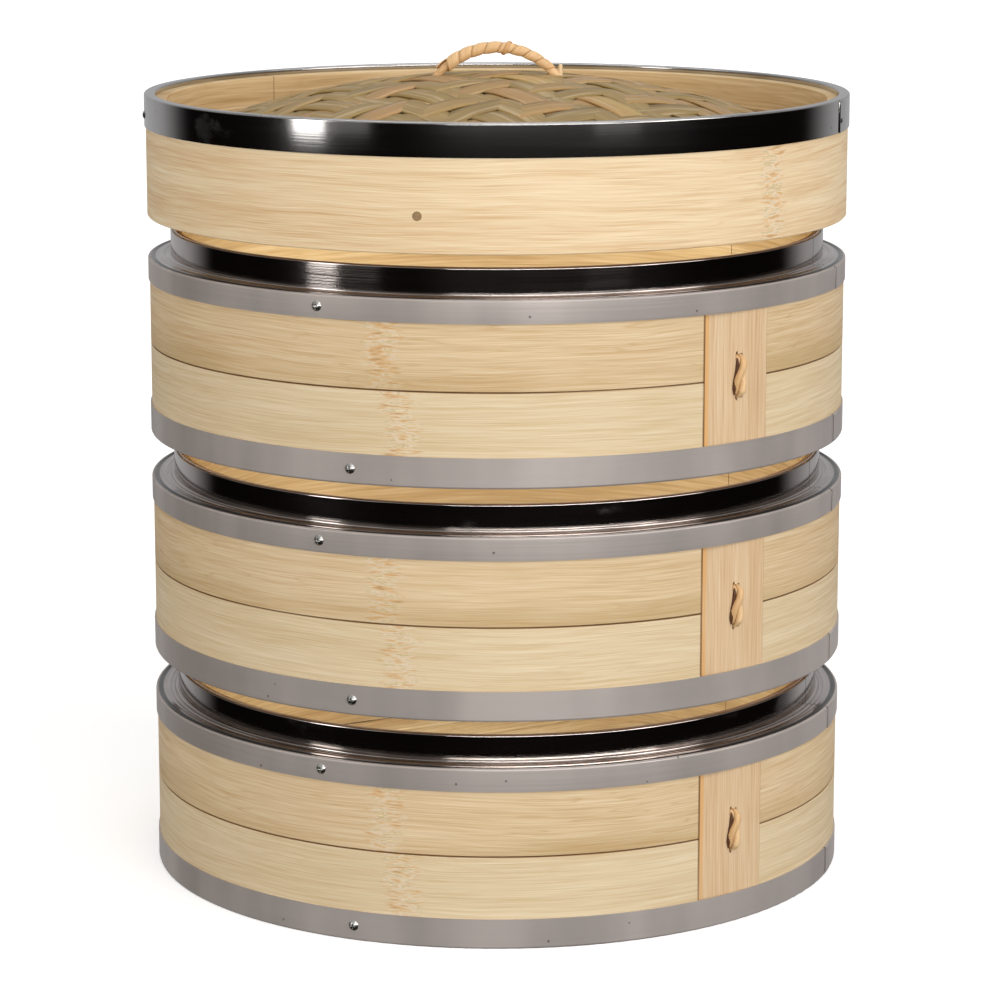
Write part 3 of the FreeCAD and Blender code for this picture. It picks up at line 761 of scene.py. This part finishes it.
def weave(top, pitch, width, lean, swing, seed):
    """Two families of splints at right angles on a dome whose crown is at `top`."""
    mesh = bmesh.new()
    draw = random.Random(seed)
    count = int(dome_edge / pitch)
    for family in (0, 1):
        heading = math.radians(lean + 90 * family)
        along_way = Vector((math.cos(heading), math.sin(heading), 0))
        across_way = Vector((-math.sin(heading), math.cos(heading), 0))
        for number in range(-count, count + 1):
            if abs(number * pitch) > dome_edge - width * 0.35:
                continue
            middle = number * pitch + draw.uniform(-0.04, 0.04) * pitch
            half = width * draw.uniform(0.44, 0.5)
            drift = draw.uniform(-0.05, 0.05) * pitch

            def spot(a, b):
                bow = drift * math.sin(math.pi * a)
                u = max(-dome_edge, min(dome_edge, middle + bow + (2 * b - 1) * half))
                s = (2 * a - 1) * math.sqrt(dome_edge ** 2 - u ** 2)
                flat = along_way * s + across_way * u
                calm = min(1.0, (dome_edge - flat.length) / CALM_RIM)
                rise = twill(s, number, pitch) * swing * calm
                rise = rise if family == 0 else -rise
                crown = CROWN * (1 - (2 * b - 1) ** 2)
                ball = math.sqrt(dome_radius ** 2 - flat.length_squared) - dome_radius
                return flat + Vector((0, 0, top + ball + rise + crown))

            length = 2 * math.sqrt(dome_edge ** 2 - min(dome_edge, abs(middle)) ** 2)
            steps = max(8, int(length / STEP))
            lay_strip(mesh, steps, 4, spot, (length, width), draw.random())
    return mesh


outer = weave(outer_high.z - WEAVE_LAYER / 2, pitch=0.0118, width=0.0108, lean=38.0,
              swing=0.0005, seed=11)
inner = weave(inner_high.z - WEAVE_LAYER / 2, pitch=0.0090, width=0.0086, lean=5.0,
              swing=0.00035, seed=23)
finished_piece("lid_woven_splints", outer, splint_finish, "lid",
               ["lid_dome_outer_weave"], SPLINT)
finished_piece("lid_lining_splints", inner, splint_finish, "lid",
               ["lid_dome_inner_weave"], SPLINT)

# %% [markdown]
# ## Round cane
#
# The stub on the handle and the stitches are round cane. A curve with a bevel would
# make a tube, but its ends and its UVs can't be set, so a smooth NURBS line gives the
# path and a strip is rolled round it until its edges meet. The long seam is then
# joined and both ends are closed, so that the cane is a closed solid that faces out.

# %% Helper for round cane
ASIDE = Vector((0.3, 0.4, 0.86))
ROUND_IN_RADII = 6.28
SEAM_REACH = 0.000001


def close_tube(mesh, verts, mark):
    """Joins a tube's long seam, closes its two ends and turns its faces outward."""
    skin = once(face for vert in verts for face in vert.link_faces)
    bmesh.ops.remove_doubles(mesh, verts=verts, dist=SEAM_REACH)
    rims = [edge for edge in once(edge for face in skin for edge in face.edges) if edge.is_boundary]
    ends = bmesh.ops.holes_fill(mesh, edges=rims, sides=0)["faces"]
    shade = mesh.faces.layers.float["shade"]
    for face in ends:
        face[shade] = mark
    bmesh.ops.recalc_face_normals(mesh, faces=skin + ends)


def cane(mesh, points, radius, mark, sides=10):
    """A round cane through points, thinner at its ends, which are closed."""
    curve = bpy.data.curves.new("path", "CURVE")
    curve.dimensions = "3D"
    line = curve.splines.new("NURBS")
    line.points.add(len(points) - 1)
    for point, at in zip(line.points, points):
        point.co = (*at, 1)
    line.use_endpoint_u = True
    line.order_u = 4
    holder = bpy.data.objects.new("path", curve)
    path = [v.co.copy() for v in bpy.data.meshes.new_from_object(holder).vertices]
    bpy.data.objects.remove(holder)

    def spot(a, b):
        here = min(len(path) - 1, int(round(a * (len(path) - 1))))
        ahead = path[min(len(path) - 1, here + 1)] - path[max(0, here - 1)]
        side = ahead.cross(ASIDE).normalized()
        other = ahead.cross(side).normalized()
        turn = 2 * math.pi * b
        slim = radius * min(1.0, 0.35 + 6 * min(a, 1 - a))
        return path[here] + (side * math.cos(turn) + other * math.sin(turn)) * slim

    length = sum((q - p).length for p, q in zip(path, path[1:]))
    made = lay_strip(mesh, len(path) - 1, sides, spot, (length, radius * ROUND_IN_RADII), mark)
    close_tube(mesh, made, mark)


# %% [markdown]
# ## The handle's wrapping
#
# A strip of cane is wound round the handle's core from one foot to the other, each
# turn just clear of the last, thick at the left foot and thinner to the right. A
# finger of it crosses back over the crown, and its end stands up by the right foot.
# The strip is a grid that is wound as a helix along the arch: it bulges across its
# width, so that each turn is a little barrel and a dark groove lies between them.

# %% Handle wrapping
WRAP_RADIUS = 0.0022
HALF_SPAN = 0.0215
FOOT_DEPTH = 0.0007
arch_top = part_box("lid_handle_wrap")[1].z - WRAP_RADIUS
arch_rise = arch_top - (outer_high.z - FOOT_DEPTH)
arch_radius = (HALF_SPAN ** 2 + arch_rise ** 2) / (2 * arch_rise)
arch_centre = arch_top - arch_radius
WRAP_FROM, WRAP_TO = 48.0, 141.0
TURNS = 9
TURN_LENGTH = 0.0138


def arch(angle):
    """A place on the handle's axis, and its outward direction, at an angle in degrees."""
    out = Vector((-math.cos(math.radians(angle)), 0, math.sin(math.radians(angle))))
    return Vector((0, 0, arch_centre)) + out * arch_radius, out


def wind(mesh, start, end, turns, cover, first_r, last_r, bulge, mark, phase=0.0):
    """Winds a strip of cane round the arch between two angles. `cover` is its width as a
    share of a turn's pitch, and its reach goes from first_r to last_r."""
    def spot(a, b):
        share = (a * turns + (b - 0.5) * cover) / turns
        angle = start + (end - start) * share
        at, out = arch(angle)
        around = 2 * math.pi * turns * a + phase
        swell = bulge * math.sqrt(max(0.0, math.sin(math.pi * b)))
        reach = first_r + (last_r - first_r) * share + swell
        return at + (out * math.cos(around) + Vector((0, 1, 0)) * math.sin(around)) * reach

    length = abs(math.radians(end - start)) * arch_radius / turns
    lay_strip(mesh, int(26 * turns), 6, spot, (turns * TURN_LENGTH, length * cover), mark)


wrapping = bmesh.new()
wind(wrapping, WRAP_FROM, WRAP_TO, TURNS, cover=0.96, first_r=0.00195, last_r=0.00135,
     bulge=0.0003, mark=0.55)
wind(wrapping, 94, 101, 1, cover=0.32, first_r=0.00235, last_r=0.00225, bulge=0.0002,
     mark=0.05, phase=2.0)
right_foot = arch(138)[0]
stub = [right_foot + Vector((0.0022, -0.0006, z)) for z in (-0.003, 0.0, 0.002, 0.0032)]
cane(wrapping, stub, radius=0.0006, mark=0.9)
finished_piece("lid_handle_wrapping", wrapping, cane_finish, "lid",
               ["lid_handle_wrap"], 0.00035)

# %% [markdown]
# ## The cane stitch
#
# A twist of two canes closes the upright strip over the joint of the boards. It
# comes out of a small hole, goes once round itself and back in lower down. Two
# round canes that circle one line, half a turn apart, make the twist, and both dive
# into the wood at their ends, so nothing is cut off in sight. Beside the twist lies a
# painted shadow: a thin cane with a mark below the lowest shade, which the finish
# shows as the darkest brown, stands for the shade that the twist casts on the strip.

# %% Stitches
# The mark that the cane finish shows as its darkest brown: the colour of the painted shadow.
SHADOW_MARK = -1.0
STITCH_ANGLE = 41.0
STITCH_OUT = 0.1270
SHADOW_CANE_OUT = 0.12635
PLY_RADIUS = 0.00125
SHADOW_CANE_RADIUS = 0.0007
DIVE = 0.0030
stitch_turn = math.radians(STITCH_ANGLE)
outward = Vector((math.sin(stitch_turn), -math.cos(stitch_turn), 0))
sideways = Vector((math.cos(stitch_turn), math.sin(stitch_turn), 0))


def beside(top, bottom, share, out, off):
    """A place by the stitch's line, a share of the way down it, out from the basket's
    axis and off to the right of the line, which sways a little."""
    sway = 0.0005 * math.sin(2 * math.pi * share)
    return outward * out + sideways * (sway + off) + Vector((0, 0, top + (bottom - top) * share))


for tier in TIERS:
    low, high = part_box(tier + "_rattan_stitch")
    top, bottom = high.z - 0.0008, low.z + 0.0006
    stitch = bmesh.new()
    for ply in (0, 1):
        points = []
        for step in range(13):
            share = step / 12
            twist = math.pi * (1.5 * share + ply + 0.15)
            dive = DIVE * (abs(2 * share - 1) ** 6)
            spread = 0.0007 + 0.0009 * share * (1 - share ** 5)
            out = STITCH_OUT - dive + spread * math.sin(twist)
            points.append(beside(top, bottom, share, out, spread * math.cos(twist)))
        cane(stitch, points, PLY_RADIUS, 0.45 + 0.2 * ply)
    # Painted shadow: a thin dark cane along the left side of the twist, where the twist shades the
    # strip.
    shadow_cane = []
    for step in range(9):
        share = 0.1 + 0.8 * step / 8
        edge = 0.0012 + 0.0009 * share
        shadow_cane.append(beside(top, bottom, share, SHADOW_CANE_OUT, -edge))
    cane(stitch, shadow_cane, SHADOW_CANE_RADIUS, SHADOW_MARK)
    finished_piece(tier + "_cane_stitch", stitch, cane_finish, tier,
                   [tier + "_rattan_stitch"])
